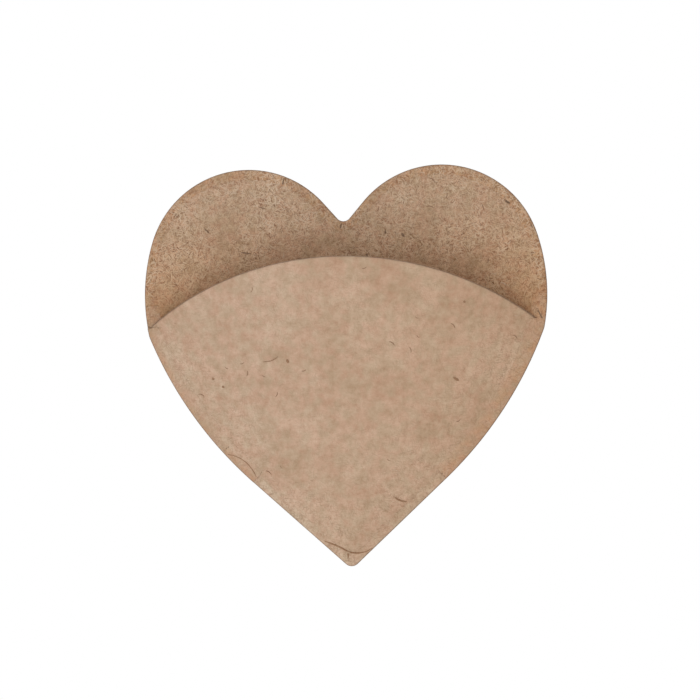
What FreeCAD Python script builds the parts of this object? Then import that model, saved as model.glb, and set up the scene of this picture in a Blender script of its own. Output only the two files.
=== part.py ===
import FreeCAD, Part
import math
import os

# A heart-shaped wall pocket in papier-mache: a flat back, a bowed front and the paper that joins them.
# Sizes are in millimetres and angles in degrees. X runs across the heart, Z up it and Y towards the wall.
# Heights are measured from the sharp tip of the outline, and the finished pieces are then moved down,
# so that the origin is in the middle of the rear face, which lies flat on the wall.

# Outline of the finished heart, from the lobes down to the tip
heart_height = 120.8
notch_depth = 17.5
flank_angle = 40.8
lobe_radius = 30.3
side_radius = 56.8
side_start_angle = 17.6
side_end_angle = 11.5
tip_swell_angle = 7.5
tip_straight = 39.5
tip_radius = 2.6
notch_radius = 2.4
corner_radius = 2.4
sharp_radius = 0.3

# Layers of paper and board
paper = 0.4
back_core = 2.0
front_core = 1.6

# Bowed front, which is glued a little to the left of the middle
front_depth = 22.0
front_setback = 1.6
front_shift = 1.0
front_tip_rise = 1.4
rim_above_corner = 3.5
rim_rise = 18.8
rim_turn_in = 8.0

# Strips of paper round the edges
edge_turn_in = 2.9
seam_band = 6.4
strip_past_corner = 9.0
left_seam_height = 36.0
tip_patch_height = 9.0

# How the bowed front is lofted
bow_levels = 9
foot_margin = 1.0
crown_margin = 0.3
rim_overrun = 3.0


# Points and curves in the plane of the heart

def sine(angle):
    return math.sin(math.radians(angle))


def cosine(angle):
    return math.cos(math.radians(angle))


def point(x, z, y=0.0):
    return FreeCAD.Vector(x, y, z)


def direction(angle):
    """A unit vector, with its angle taken from the X axis towards the Z axis."""
    return point(cosine(angle), sine(angle))


def bearing(centre, target):
    """The angle from the X axis of the line from one point to another."""
    return math.degrees(math.atan2(target.z - centre.z, target.x - centre.x))


def line(start, end):
    return Part.LineSegment(start, end).toShape()


def turn(centre, radius, start_angle, end_angle):
    """An arc about a centre, from one angle to another."""
    angles = (start_angle, (start_angle + end_angle) / 2.0, end_angle)
    start, middle, end = (centre + direction(angle) * radius for angle in angles)
    return Part.Arc(start, middle, end).toShape()


def meeting(first_centre, first_radius, second_centre, second_radius):
    """The point on the right where two circles cross."""
    across = second_centre - first_centre
    span = across.Length
    along = (span ** 2 + first_radius ** 2 - second_radius ** 2) / (2.0 * span)
    aside = math.sqrt(first_radius ** 2 - along ** 2)
    step = across / span
    crossings = [first_centre + step * along + point(-step.z, step.x) * side for side in (aside, -aside)]
    return max(crossings, key=lambda crossing: crossing.x)


# Right half of the outline: flank of the notch, lobe, side, pocket corner, lower edge and tip

notch = point(0.0, heart_height - notch_depth)
flank_climb = notch_depth - lobe_radius * (1.0 - sine(flank_angle))
flank_end = notch + direction(90.0 - flank_angle) * (flank_climb / cosine(flank_angle))
lobe_centre = flank_end + direction(-flank_angle) * lobe_radius
side_centre = lobe_centre - direction(side_start_angle) * (side_radius - lobe_radius)
corner = side_centre + direction(-side_end_angle) * side_radius

tip = point(0.0, 0.0)
tip_half_angle = 90.0 - bearing(tip, corner) + tip_swell_angle
straight_end = tip + direction(90.0 - tip_half_angle) * tip_straight
inward = direction(180.0 - tip_half_angle)
to_corner = corner - straight_end
lower_radius = to_corner.dot(to_corner) / (2.0 * to_corner.dot(inward))
lower_centre = straight_end + inward * lower_radius


def half_outline(inset):
    """The edges of the right half, from the tip up to the notch, set in from the finished edge."""
    tip_round = max(tip_radius - inset, sharp_radius)
    tip_centre = point(0.0, (inset + tip_round) / sine(tip_half_angle))
    notch_centre = notch + point(0.0, notch_radius / sine(flank_angle))
    corner_round = max(corner_radius - inset, sharp_radius)
    corner_inset = inset + corner_round
    corner_centre = meeting(side_centre, side_radius - corner_inset, lower_centre, lower_radius - corner_inset)
    lower_turn = bearing(lower_centre, corner_centre)
    side_turn = bearing(side_centre, corner_centre)

    tip_arc = turn(tip_centre, tip_round, -90.0, -tip_half_angle)
    lower_arc = turn(lower_centre, lower_radius - inset, -tip_half_angle, lower_turn)
    corner_arc = turn(corner_centre, corner_round, lower_turn, side_turn)
    side_arc = turn(side_centre, side_radius - inset, side_turn, side_start_angle)
    lobe_arc = turn(lobe_centre, lobe_radius - inset, side_start_angle, 180.0 - flank_angle)
    notch_arc = turn(notch_centre, notch_radius + inset, -flank_angle, -90.0)
    straight = line(tip_arc.lastVertex().Point, lower_arc.firstVertex().Point)
    flank = line(lobe_arc.lastVertex().Point, notch_arc.firstVertex().Point)
    return [tip_arc, straight, lower_arc, corner_arc, side_arc, lobe_arc, flank, notch_arc]


def slab(inset, rear, front):
    """A plate of the heart's outline, set in from the finished edge, between two depths."""
    right = half_outline(inset)
    left = [edge.mirror(tip, FreeCAD.Vector(1.0, 0.0, 0.0)) for edge in reversed(right)]
    face = Part.Face(Part.Wire(right + left))
    face.translate(FreeCAD.Vector(0.0, rear, 0.0))
    return face.extrude(FreeCAD.Vector(0.0, front - rear, 0.0))


def ring(outer_inset, inner_inset, rear, front):
    return slab(outer_inset, rear, front).cut(slab(inner_inset, rear, front))


# Depths of the layers, from the wall to the viewer

wall = 0.0
core_rear = wall - paper
core_front = core_rear - back_core
joint = core_front - paper
far_front = joint - 2.0 * front_depth


# Half spaces that divide the strips

reach = 2.0 * heart_height


def block(left, right, bottom, top):
    return Part.makeBox(right - left, 2.0 * reach, top - bottom, FreeCAD.Vector(left, -reach, bottom))


# Bowed front: level arcs that grow from the tip to the rim

rim_half_width = corner.x - front_setback
rim_radius = (rim_half_width ** 2 + rim_rise ** 2) / (2.0 * rim_rise)
rim_top = corner.z + rim_above_corner + rim_rise
front_tip = front_setback / sine(tip_half_angle)
bow_slope = front_depth / (rim_top - front_tip)


def foot_half_width(height):
    """Half the width of the front's foot, which follows the heart's lower edge."""
    radius = lower_radius - front_setback
    arc_start = lower_centre.z - radius * sine(tip_half_angle)
    if height < arc_start:
        return (height - front_tip) * math.tan(math.radians(tip_half_angle))
    return lower_centre.x + math.sqrt(radius ** 2 - (height - lower_centre.z) ** 2)


def bow_section(height, inset):
    """A level slice of the bow, set in from its outer face and run on a little behind the joint."""
    half_width = foot_half_width(height)
    crown = bow_slope * (height - front_tip)
    radius = (half_width ** 2 + crown ** 2) / (2.0 * crown)
    centre_depth = radius - crown
    half_chord = math.sqrt((radius - inset) ** 2 - (centre_depth - foot_margin) ** 2)
    left = point(-front_shift - half_chord, height, joint + foot_margin)
    middle = point(-front_shift, height, joint - crown + inset)
    right = point(-front_shift + half_chord, height, joint + foot_margin)
    return Part.Wire([Part.Arc(left, middle, right).toShape(), line(right, left)])


def bow(inset, rim_inset):
    """The bow as a filled solid in front of the joint, below its rim and within the heart's edge."""
    least_crown = inset - foot_margin + crown_margin
    bottom = front_tip + max(front_tip_rise, least_crown / bow_slope)
    top = rim_top + rim_overrun
    step = (top - bottom) / (bow_levels - 1)
    sections = [bow_section(bottom + step * level, inset) for level in range(bow_levels)]
    filled = Part.makeLoft(sections, True)
    rim_centre = point(-front_shift, rim_top - rim_radius, joint)
    rim_disc = Part.makeCylinder(rim_radius - rim_inset, joint - far_front, rim_centre, FreeCAD.Vector(0.0, -1.0, 0.0))
    return filled.common(rim_disc).common(slab(paper, joint, far_front))


# Back: a board core with paper on both faces

back_board = slab(paper, core_rear, core_front)
back_rear_paper = slab(edge_turn_in, wall, core_rear)

strip_end = corner.z + strip_past_corner
lobe_strips = ring(0.0, edge_turn_in, wall, joint).cut(back_board).common(block(-reach, reach, strip_end, reach))
lobe_edge_strip_left = lobe_strips.common(block(-reach, 0.0, 0.0, reach))
lobe_edge_strip_right = lobe_strips.common(block(0.0, reach, 0.0, reach))

back_face_paper = slab(paper, core_front, joint).cut(lobe_strips)


# Front: a card core, a lining, and an outer paper that is turned over the rim

front_skin = paper + front_core
front_wall = front_skin + paper
front_cavity = bow(front_wall, 0.0)

front_board = bow(paper, paper).cut(bow(front_skin, paper))
front_lining_paper = bow(front_skin, paper + rim_turn_in).cut(front_cavity)
front_outer_paper = bow(0.0, 0.0).cut(front_cavity).cut(front_board).cut(front_lining_paper)


# Seam: paper from the front, over the ledge and the edge, to the rear

seam_front = joint - paper
seam_edge = ring(0.0, paper, wall, seam_front)
seam_rear = ring(paper, edge_turn_in, wall, core_rear)
seam_ledge = ring(0.0, edge_turn_in, joint, seam_front)
seam_over_bow = bow(-paper, 0.0).common(ring(0.0, seam_band, joint, far_front))
seam_paper = seam_edge.fuse([seam_rear, seam_ledge, seam_over_bow]).cut(bow(0.0, 0.0)).removeSplitter()

seam_strip_left_upper = seam_paper.common(block(-reach, 0.0, left_seam_height, strip_end))
seam_strip_left_lower = seam_paper.common(block(-reach, 0.0, tip_patch_height, left_seam_height))
seam_strip_right = seam_paper.common(block(0.0, reach, tip_patch_height, strip_end))
tip_patch = seam_paper.common(block(-reach, reach, -reach, tip_patch_height))


# Finished pieces, moved so that the origin is in the middle of the rear face

pieces = {
    "back_board": back_board,
    "back_face_paper": back_face_paper,
    "back_rear_paper": back_rear_paper,
    "lobe_edge_strip_left": lobe_edge_strip_left,
    "lobe_edge_strip_right": lobe_edge_strip_right,
    "front_board": front_board,
    "front_outer_paper": front_outer_paper,
    "front_lining_paper": front_lining_paper,
    "seam_strip_left_upper": seam_strip_left_upper,
    "seam_strip_left_lower": seam_strip_left_lower,
    "seam_strip_right": seam_strip_right,
    "tip_patch": tip_patch,
}

tip_end = tip_radius / sine(tip_half_angle) - tip_radius
middle_height = (heart_height + tip_end) / 2.0

os.makedirs("parts", exist_ok=True)
for name, shape in pieces.items():
    shape.translate(FreeCAD.Vector(0.0, 0.0, -middle_height))
    solids = shape.Solids
    if len(solids) != 1 or not solids[0].isValid():
        raise ValueError(f"{name} is {len(solids)} solids, where one valid solid is due")
    solids[0].exportStep(f"parts/{name}.step")
    box = solids[0].BoundBox
    print(f"{name}: {solids[0].Volume:.1f} mm3, {box.XLength:.2f} x {box.YLength:.2f} x {box.ZLength:.2f} mm")
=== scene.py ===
import math
from typing import NamedTuple

import bmesh
import bpy
import numpy as np
from mathutils import Euler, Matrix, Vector, noise


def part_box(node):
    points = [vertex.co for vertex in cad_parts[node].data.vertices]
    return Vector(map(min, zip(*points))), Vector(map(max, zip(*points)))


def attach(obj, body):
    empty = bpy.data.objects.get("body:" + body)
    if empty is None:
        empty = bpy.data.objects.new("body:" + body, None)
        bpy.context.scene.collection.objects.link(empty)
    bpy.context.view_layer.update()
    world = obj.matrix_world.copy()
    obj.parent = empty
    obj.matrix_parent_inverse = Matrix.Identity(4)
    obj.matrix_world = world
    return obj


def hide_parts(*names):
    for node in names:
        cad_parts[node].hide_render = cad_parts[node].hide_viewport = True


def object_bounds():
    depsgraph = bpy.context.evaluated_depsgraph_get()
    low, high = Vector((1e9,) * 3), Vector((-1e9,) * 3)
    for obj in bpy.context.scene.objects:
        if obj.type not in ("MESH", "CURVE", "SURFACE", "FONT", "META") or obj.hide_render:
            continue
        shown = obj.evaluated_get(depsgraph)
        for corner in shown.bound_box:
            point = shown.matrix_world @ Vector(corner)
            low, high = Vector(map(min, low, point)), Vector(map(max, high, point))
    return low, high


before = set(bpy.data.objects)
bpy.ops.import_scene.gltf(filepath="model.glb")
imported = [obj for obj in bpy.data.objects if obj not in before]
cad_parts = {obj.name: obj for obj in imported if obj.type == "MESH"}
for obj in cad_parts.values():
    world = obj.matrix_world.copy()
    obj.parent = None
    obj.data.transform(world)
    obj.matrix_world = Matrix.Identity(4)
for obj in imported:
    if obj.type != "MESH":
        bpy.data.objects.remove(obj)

# A heart-shaped wall pocket in papier-mache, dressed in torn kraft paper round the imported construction.
# X runs across the heart, Z up it and Y towards the wall. Lengths are in metres, written through MM.

bl_info = {
    "name": "Heart Wall Pocket",
    "version": (1, 0, 0),
    "blender": (4, 5, 0),
    "location": "View3D > Sidebar > Wall Pocket",
    "description": "Builds a heart-shaped papier-mache wall pocket and its studio stage",
    "category": "Object",
}

MM = 0.001
QUARTER_TURN = math.pi / 2.0
BODY = "root"
CAD_BOX = [list(corner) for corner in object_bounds()]
TIP_END = CAD_BOX[0][2]
FACE_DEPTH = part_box("back_face_paper")[0][1]


# Sizes and colours that a user would change

def length(name, description, millimetres):
    return bpy.props.FloatProperty(
        name=name, description=description, default=millimetres * MM, unit="LENGTH", precision=5)


def turning(name, description, degrees):
    return bpy.props.FloatProperty(
        name=name, description=description, default=math.radians(degrees), subtype="ANGLE")


def colour(name, description, code):
    return bpy.props.StringProperty(name=name, description=description, default=code)


class HeartOutlineSizes(bpy.types.PropertyGroup):
    """Outline of the finished heart, with heights from its sharp tip."""
    heart_height: length("Height", "From the sharp tip to the top of the lobes", 120.8)
    notch_depth: length("Notch depth", "From the top of the lobes to the sharp notch", 17.5)
    flank_angle: turning("Flank angle", "Of the notch's sides from the vertical", 40.8)
    lobe_radius: length("Lobe radius", "Of the round of each lobe", 30.3)
    side_radius: length("Side radius", "Of the side between lobe and pocket corner", 56.8)
    side_start: turning("Side start", "Angle where the lobe passes into the side", 17.6)
    side_end: turning("Side end", "Angle of the side at the pocket corner", 11.5)
    tip_swell: turning("Tip swell", "Between the lower edge and the line from tip to corner", 7.5)
    tip_straight: length("Tip straight", "Straight run of the lower edge above the tip", 39.5)
    tip_radius: length("Tip radius", "Of the rounded tip", 2.6)
    notch_radius: length("Notch radius", "Of the rounded notch", 2.4)
    corner_radius: length("Corner radius", "Of the rounded pocket corner", 2.4)


class BowedFrontSizes(bpy.types.PropertyGroup):
    """The bowed front panel, glued a little to the left."""
    depth: length("Depth", "Of the bow at the top of the rim", 22.0)
    setback: length("Setback", "Of the foot from the heart's edge", 1.6)
    shift: length("Shift", "To the left of the middle", 1.0)
    tip_rise: length("Tip rise", "Of the blunt lower end above the sharp one", 1.4)
    rim_above_corner: length("Rim end", "Height of the rim's ends above the pocket corner", 3.5)
    rim_rise: length("Rim rise", "Of the rim's arch above its ends", 18.8)
    wall: length("Wall", "Thickness of card and paper", 2.4)
    rim_round: length("Rim round", "Height of the rounded rim", 0.9)


class PaperSizes(bpy.types.PropertyGroup):
    """The strips of pasted paper and the fibres in it, with heights from the sharp tip."""
    edge_round: length("Edge round", "Of the heart's edge on the front", 1.0)
    rear_round: length("Rear round", "Of the heart's edge at the wall", 0.5)
    cover: length("Cover", "By which strips stand proud of the back", 0.22)
    lobe_band: length("Lobe band", "Width of the edge strip on the lobes", 2.9)
    seam_band: length("Seam band", "Width of the seam strip on the front", 4.6)
    patch_band: length("Patch band", "Width of the tip patch on the front", 2.76)
    rear_band: length("Rear band", "Width of the strips turned to the rear", 2.9)
    strip_top: length("Strip top", "Above the pocket corner, where seam and lobe strips meet", 9.0)
    left_joint: length("Left joint", "Height of the joint between the two left seam strips", 36.0)
    patch_left: length("Patch, left", "Height of the tip patch's left end", 9.0)
    patch_right: length("Patch, right", "Height of the tip patch's right end", 7.5)
    seam_ease: length("Seam ease", "How softly a seam strip bridges the foot of the bow", 0.7)
    patch_ease: length("Patch ease", "How softly the tip patch bridges the foot of the bow", 0.15)
    fibre_length: length("Fibre length", "Of a loose fibre in the paper", 1.7)
    fibre_width: length("Fibre width", "Of a loose fibre in the paper", 0.30)


class KraftColours(bpy.types.PropertyGroup):
    """Paper colours, some of them painted shade, as sRGB hex codes."""
    front_base: colour("Front", "Paper of the bowed front", "#CCAE96")
    front_dark: colour("Front, dark", "Darker pulp on the front", "#A88367")
    patch_base: colour("Patch", "Paler paper of the tip patch", "#D0B79F")
    back_base: colour("Back", "Paper of the lobes", "#C49F80")
    back_dark: colour("Back, dark", "Darker pulp on the lobes", "#9C7657")
    edge_base: colour("Edge", "Rubbed paper at the edge", "#C4976F")
    edge_dark: colour("Edge, dark", "Darker pulp at the edge", "#946743")
    pulp_cool: colour("Pulp, cool", "Greenish clouds in the pulp", "#B3AE94")
    pulp_pink: colour("Pulp, pink", "Pinkish clouds in the pulp", "#CDA994")
    fleck_dark: colour("Fleck, dark", "Bark flecks", "#6E4B33")
    fleck_pale: colour("Fleck, pale", "Bleached fibres", "#D3BCA3")
    fibre_core: colour("Fibre core", "Pulp that shows through a fibre", "#A5866A")
    # Painted shadow along the torn lines and painted shade in the folds and creases; the front's flecks and
    # dots share this dark brown
    mark: colour("Mark", "Torn lines and creases", "#7F5433")
    # Painted shade in the edge creases, and the dark colour of the bark specks
    speck_and_crease_shade: colour("Speck", "Dark bark specks on the lobes", "#3A2416")
    # Painted shade, multiplied in darker and warmer towards the right side
    painted_shade_right: colour("Tint, right", "Multiplied in towards the right side", "#F8EDDD")
    # Painted shade, multiplied in darker and warmer low down by the mouth of the pocket
    painted_shade_mouth: colour("Tint, mouth", "Multiplied in towards the mouth of the pocket", "#F4E2CC")
    tint_rubbed: colour("Tint, rubbed", "Multiplied in along the seam strips", "#EFD9C3")
    # Painted shade, multiplied in on the narrow edge
    painted_shade_edge: colour("Tint, edge", "Multiplied in on the narrow edge", "#8A7566")
    floor: colour("Floor", "Pale studio floor", "#F4F3F1")


# Outline of the heart as lines and arcs

def unit(angle):
    return np.array([math.cos(angle), math.sin(angle)])


def circle_meeting(first, first_radius, second, second_radius):
    """The point on the right where two circles cross."""
    span = np.linalg.norm(second - first)
    step = (second - first) / span
    along = (span ** 2 + first_radius ** 2 - second_radius ** 2) / (2.0 * span)
    aside = math.sqrt(first_radius ** 2 - along ** 2)
    across = np.array([-step[1], step[0]])
    crossings = [first + step * along + across * side for side in (aside, -aside)]
    return max(crossings, key=lambda crossing: crossing[0])


def bearing(start, end):
    return math.atan2(end[1] - start[1], end[0] - start[0])


class Heart:
    """The finished outline, by the distance along it from the tip, up the right side and round to the tip."""

    SAMPLES = 160
    SAME_POINT = 1e-7

    def __init__(self, sizes):
        flank = sizes.flank_angle
        notch = np.array([0.0, sizes.heart_height - sizes.notch_depth])
        climb = sizes.notch_depth - sizes.lobe_radius * (1.0 - math.sin(flank))
        flank_end = notch + unit(QUARTER_TURN - flank) * climb / math.cos(flank)
        lobe = flank_end + unit(-flank) * sizes.lobe_radius
        side = lobe - unit(sizes.side_start) * (sizes.side_radius - sizes.lobe_radius)
        self.corner = side + unit(-sizes.side_end) * sizes.side_radius
        self.tip_angle = QUARTER_TURN - bearing((0.0, 0.0), self.corner) + sizes.tip_swell
        straight_end = unit(QUARTER_TURN - self.tip_angle) * sizes.tip_straight
        inward = unit(math.pi - self.tip_angle)
        chord = self.corner - straight_end
        self.lower_radius = chord @ chord / (2.0 * chord @ inward)
        self.lower = straight_end + inward * self.lower_radius
        tip_centre = np.array([0.0, sizes.tip_radius / math.sin(self.tip_angle)])
        self.tip_end = tip_centre[1] - sizes.tip_radius
        notch_centre = notch + np.array([0.0, sizes.notch_radius / math.sin(flank)])
        corner_centre = circle_meeting(side, sizes.side_radius - sizes.corner_radius,
                                       self.lower, self.lower_radius - sizes.corner_radius)
        low_turn = bearing(self.lower, corner_centre)
        high_turn = bearing(side, corner_centre)
        self.runs = [
            (tip_centre, sizes.tip_radius, -QUARTER_TURN, -self.tip_angle),
            (self.lower, self.lower_radius, -self.tip_angle, low_turn),
            (corner_centre, sizes.corner_radius, low_turn, high_turn),
            (side, sizes.side_radius, high_turn, sizes.side_start),
            (lobe, sizes.lobe_radius, sizes.side_start, math.pi - flank),
            (notch_centre, -sizes.notch_radius, math.pi - flank, QUARTER_TURN),
        ]
        self._sample()

    def _sample(self):
        """Points and outward normals along the whole outline, at steps that follow the arcs and the lines."""
        points, normals = [], []
        for centre, radius, start, end in self.runs:
            for angle in np.linspace(start, end, self.SAMPLES):
                points.append(centre + unit(angle) * radius)
                normals.append(unit(angle))
        mirror = np.array([-1.0, 1.0])
        points = np.array(points + [point * mirror for point in reversed(points)])
        normals = np.array(normals + [normal * mirror for normal in reversed(normals)])
        steps = np.linalg.norm(np.diff(points, axis=0), axis=1)
        keep = np.concatenate([[True], steps > self.SAME_POINT])
        self.points, self.normals = points[keep], normals[keep]
        steps = np.linalg.norm(np.diff(self.points, axis=0), axis=1)
        self.along = np.concatenate([[0.0], np.cumsum(steps)])
        self.perimeter = self.along[-1]

    def at(self, distance):
        """Point and outward normal at a distance along the outline from the tip."""
        distance = distance % self.perimeter
        point = np.array([np.interp(distance, self.along, self.points[:, k]) for k in (0, 1)])
        normal = np.array([np.interp(distance, self.along, self.normals[:, k]) for k in (0, 1)])
        return point, normal / np.linalg.norm(normal)

    def distance_at_height(self, height, right=True):
        """Distance along the outline of the first point at a height on the right, or the last on the left."""
        half = len(self.points) // 2
        index = int(np.argmax(self.points[:half, 1] >= height))
        return self.along[index] if right else self.perimeter - self.along[index]


class Bow:
    """The bowed front: level arcs that grow from the tip to the rim."""

    TIP_MARGIN = 0.01 * MM
    OFF_THE_BOW = -1.0
    SEARCH_START = 30.0 * MM
    SEARCH_MARGIN = 2.0 * MM
    HALVINGS = 40
    CORNER_GAP = 0.3 * MM
    HELD_FROM = -2.0 * MM

    def __init__(self, sizes, heart):
        self.sizes, self.heart = sizes, heart
        self.tip = sizes.setback / math.sin(heart.tip_angle)
        half_width = heart.corner[0] - sizes.setback
        self.rim_radius = (half_width ** 2 + sizes.rim_rise ** 2) / (2.0 * sizes.rim_rise)
        self.rim_end = heart.corner[1] + sizes.rim_above_corner
        self.rim_top = self.rim_end + sizes.rim_rise
        self.slope = sizes.depth / (self.rim_top - self.tip)

    def foot(self, height):
        """Half the width of the foot at a height."""
        radius = self.heart.lower_radius - self.sizes.setback
        if height < self.heart.lower[1] - radius * math.sin(self.heart.tip_angle):
            return (height - self.tip) * math.tan(self.heart.tip_angle)
        return self.heart.lower[0] + math.sqrt(radius ** 2 - (height - self.heart.lower[1]) ** 2)

    def level(self, height):
        """Radius of the arc at a height, and how far its centre lies behind the face of the back."""
        half_width = self.foot(height)
        crown = self.slope * (height - self.tip)
        radius = (half_width ** 2 + crown ** 2) / (2.0 * crown)
        return radius, radius - crown

    def rise(self, x, height):
        """How far the bow stands in front of the back's face, below zero outside its foot."""
        if height <= self.tip + self.TIP_MARGIN:
            return self.OFF_THE_BOW
        radius, centre = self.level(height)
        return math.sqrt(max(radius ** 2 - (x + self.sizes.shift) ** 2, 0.0)) - centre

    def rim_height(self, share, inset, drop):
        """Height at which a column of the bow meets the rim, found by halving."""
        low, high = self.tip + self.SEARCH_START, self.rim_top + self.SEARCH_MARGIN
        limit = self.rim_radius - drop
        for _ in range(self.HALVINGS):
            middle = (low + high) / 2.0
            x = share * self.half_width(middle, inset)
            if x ** 2 + (middle - self.rim_top + self.rim_radius) ** 2 > limit ** 2:
                high = middle
            else:
                low = middle
        return low

    def half_width(self, height, inset):
        """Half the width of the arc at the back's face, set in by the inset and held in at the corner."""
        radius, centre = self.level(height)
        bare = math.sqrt(max((radius - inset) ** 2 - centre ** 2, 0.0))
        held = self.heart.corner[0] - self.sizes.shift - self.CORNER_GAP - inset
        return min(bare, held) if height - self.heart.corner[1] > self.HELD_FROM else bare


# Meshes

class Swell(NamedTuple):
    """One layer of unevenness: its depth, the size of its humps and the seed of its noise."""
    depth: float
    grain: float
    seed: int


SEED_STEP = 17.31
SHARP_ANGLE = math.radians(50.0)
MERGE_DISTANCE = 1e-7
DEGENERATE_EDGE = 1e-8
BACK_SWELL = (Swell(0.05 * MM, 22.0 * MM, 1), Swell(0.0175 * MM, 5.0 * MM, 2))
FRONT_SWELL = (Swell(0.16 * MM, 24.0 * MM, 5), Swell(0.05 * MM, 6.0 * MM, 6))
SHAPES = {}


def wobble(x, z, grain, seed):
    """A smooth seeded unevenness between about -1 and 1."""
    return noise.noise(Vector((x / grain, seed * SEED_STEP, z / grain)))


def swelling(layers, x, z):
    return sum(layer.depth * wobble(x, z, layer.grain, layer.seed) for layer in layers)


def finish_mesh(name, vertices, faces, material, smooth=True):
    """An object at the origin, with outward faces and one material."""
    mesh = bpy.data.meshes.new(name)
    mesh.from_pydata([tuple(vertex) for vertex in vertices], [], faces)
    work = bmesh.new()
    work.from_mesh(mesh)
    bmesh.ops.remove_doubles(work, verts=work.verts, dist=MERGE_DISTANCE)
    bmesh.ops.dissolve_degenerate(work, edges=work.edges, dist=DEGENERATE_EDGE)
    bmesh.ops.recalc_face_normals(work, faces=work.faces)
    for face in work.faces:
        face.smooth = smooth
    work.to_mesh(mesh)
    work.free()
    mesh.set_sharp_from_angle(angle=SHARP_ANGLE)
    mesh.materials.append(material)
    piece = bpy.data.objects.new(name, mesh)
    bpy.context.scene.collection.objects.link(piece)
    return piece


def join_rows(rows, round_row=False, round_rows=False):
    """Vertices and quads through rows of points, closed along a row or from the last row to the first."""
    width = len(rows[0])
    vertices = [point for row in rows for point in row]
    faces = []
    for i in range(len(rows) if round_rows else len(rows) - 1):
        for j in range(width if round_row else width - 1):
            k, n = (i + 1) % len(rows), (j + 1) % width
            faces.append((i * width + j, i * width + n, k * width + n, k * width + j))
    return vertices, faces


def place(point, depth):
    """A point of the outline's plane as a point of the frame."""
    return (point[0], depth, point[1] + TIP_END - SHAPES["heart"].tip_end)


def settle(piece, slot, *nodes):
    """Ride a finished piece on the body, in the place of the nodes that it dresses. The slot is not used."""
    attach(piece, BODY)
    if nodes:
        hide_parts(*nodes)


def read_shapes():
    """Work out the outline and the bow from the sizes."""
    scene = bpy.context.scene
    SHAPES["heart"] = Heart(scene.pocket_outline)
    SHAPES["bow"] = Bow(scene.pocket_front, SHAPES["heart"])
    SHAPES["paper"] = scene.pocket_paper


def build_back(material):
    """The flat back as one soft-edged plate, a little uneven in front and flat at the wall."""
    heart, paper = SHAPES["heart"], SHAPES["paper"]
    stations, rings, front_turns, rear_turns, rear_rings = 640, 46, 6, 4, 6
    ring_crowding, face_sink, rear_sink = 0.8, 0.05 * MM, 0.4 * paper.cover
    middle = np.array([0.0, 62.0 * MM])
    rear = -rear_sink
    rows = []

    def ring(inset, share, depth_of):
        row = []
        for k in range(stations):
            edge, normal = heart.at(heart.perimeter * k / stations)
            flat = middle + (edge - normal * inset - middle) * share
            row.append(place(flat, depth_of(flat)))
        rows.append(row)

    def uneven(flat):
        return FACE_DEPTH + face_sink + swelling(BACK_SWELL, flat[0], flat[1])

    for k in range(1, rings + 1):
        ring(paper.cover + paper.edge_round, (k / rings) ** ring_crowding, uneven)
    for k in range(1, front_turns):
        turn = QUARTER_TURN * k / front_turns
        inset = paper.cover + paper.edge_round * (1.0 - math.sin(turn))
        ring(inset, 1.0, lambda flat, t=turn: uneven(flat) + paper.edge_round * (1.0 - math.cos(t)))
    ring(paper.cover, 1.0, lambda flat: FACE_DEPTH + paper.edge_round + face_sink)
    for k in range(rear_turns + 1):
        turn = QUARTER_TURN * k / rear_turns
        inset = paper.cover + paper.rear_round * (1.0 - math.cos(turn))
        ring(inset, 1.0, lambda flat, t=turn: rear - paper.rear_round * (1.0 - math.sin(t)))
    for k in range(rear_rings - 1, 0, -1):
        ring(paper.cover + paper.rear_round, k / rear_rings, lambda flat: rear)
    vertices, faces = join_rows(rows, round_row=True)
    for row, depth in ((0, uneven(middle)), (len(rows) - 1, rear)):
        vertices.append(place(middle, depth))
        pole = len(vertices) - 1
        first = row * stations
        faces += [(first + k, first + (k + 1) % stations, pole) for k in range(stations)]
    return finish_mesh("back_heart", vertices, faces, material)


def bow_point(share, height, inset):
    """A point of the bow's face in a column, set in from the outer face."""
    bow = SHAPES["bow"]
    radius, centre = bow.level(height)
    x = share * bow.half_width(height, inset)
    rise = math.sqrt(max((radius - inset) ** 2 - x ** 2, 0.0)) - centre
    return x - bow.sizes.shift, height, max(rise, 0.0)


def bow_swell(x, height, rise):
    """Unevenness of the pressed bow, fading out towards its foot."""
    fading_rise = 3.0 * MM
    return swelling(FRONT_SWELL, x, height) * min(max(rise, 0.0) / fading_rise, 1.0)


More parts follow.
